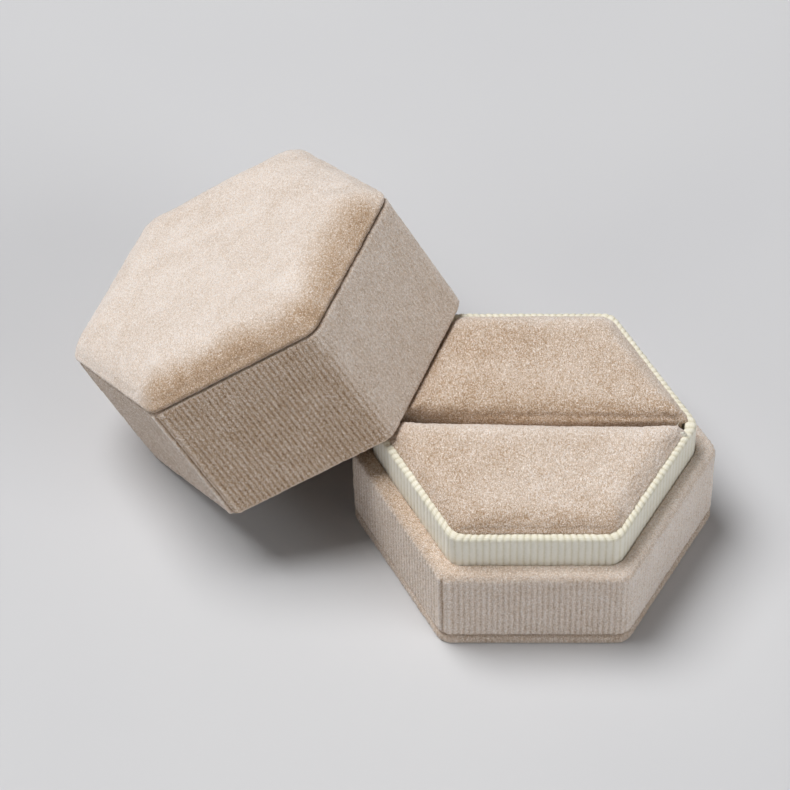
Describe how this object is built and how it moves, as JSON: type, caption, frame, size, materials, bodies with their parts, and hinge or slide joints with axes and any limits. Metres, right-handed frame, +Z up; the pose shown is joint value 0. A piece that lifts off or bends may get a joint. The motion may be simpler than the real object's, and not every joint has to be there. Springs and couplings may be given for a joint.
{
  "type": "ring box",
  "caption": "Hexagonal velvet-covered ring box with a lift-off lid, a ribbon-faced collar and two soft pads that hold a ring upright between them.",
  "frame": {"origin": "centre of the flat underside of the base, on the surface that the box stands on", "axes": "+Z up out of the base; X runs corner to corner along the slot between the pads; +Y points to the back, so the flat front face looks along -Y; the lid leans on the -X side"},
  "size_m": [0.1093, 0.0785, 0.0525],
  "materials": {
    "velvet": "champagne beige velvet with a fine ribbed pile, bright at grazing edges",
    "pad_velvet": "the same champagne velvet with a smooth brushed pile",
    "grosgrain": "cream grosgrain ribbon with upright ribs",
    "lining": "plain short-pile lining",
    "greyboard": "matt grey-brown bookbinding board",
    "foam": "soft open-cell foam, counted as fabric for its low density"
  },
  "bodies": {
    "base": {"base_bottom_board": "greyboard", "base_bottom_cover": "velvet", "base_floor_card": "greyboard", "base_band_board": "greyboard", "base_band_cover": "velvet", "collar_board": "greyboard", "collar_ribbon": "grosgrain", "insert_card": "greyboard"},
    "front_pad": {"front_pad_foam": "foam", "front_pad_cover": "pad_velvet"},
    "back_pad": {"back_pad_foam": "foam", "back_pad_cover": "pad_velvet"},
    "lid": {"lid_wall_board": "greyboard", "lid_side_cover": "velvet", "lid_wall_lining": "lining", "lid_ceiling_card": "greyboard", "lid_ceiling_lining": "lining", "lid_top_board": "greyboard", "lid_top_padding": "foam", "lid_top_cover": "velvet"}
  },
  "joints": [
    {"name": "lid_lift", "type": "slide", "parent": "base", "child": "lid", "axis": [0, 0, 1], "range_m": [0, 0.07]},
    {"name": "front_pad_squeeze", "type": "slide", "parent": "base", "child": "front_pad", "axis": [0, -1, 0], "range_m": [0, 0.0008], "stiffness_N_per_m": 1500},
    {"name": "back_pad_squeeze", "type": "slide", "parent": "base", "child": "back_pad", "axis": [0, 1, 0], "range_m": [0, 0.0008], "stiffness_N_per_m": 1500}
  ]
}
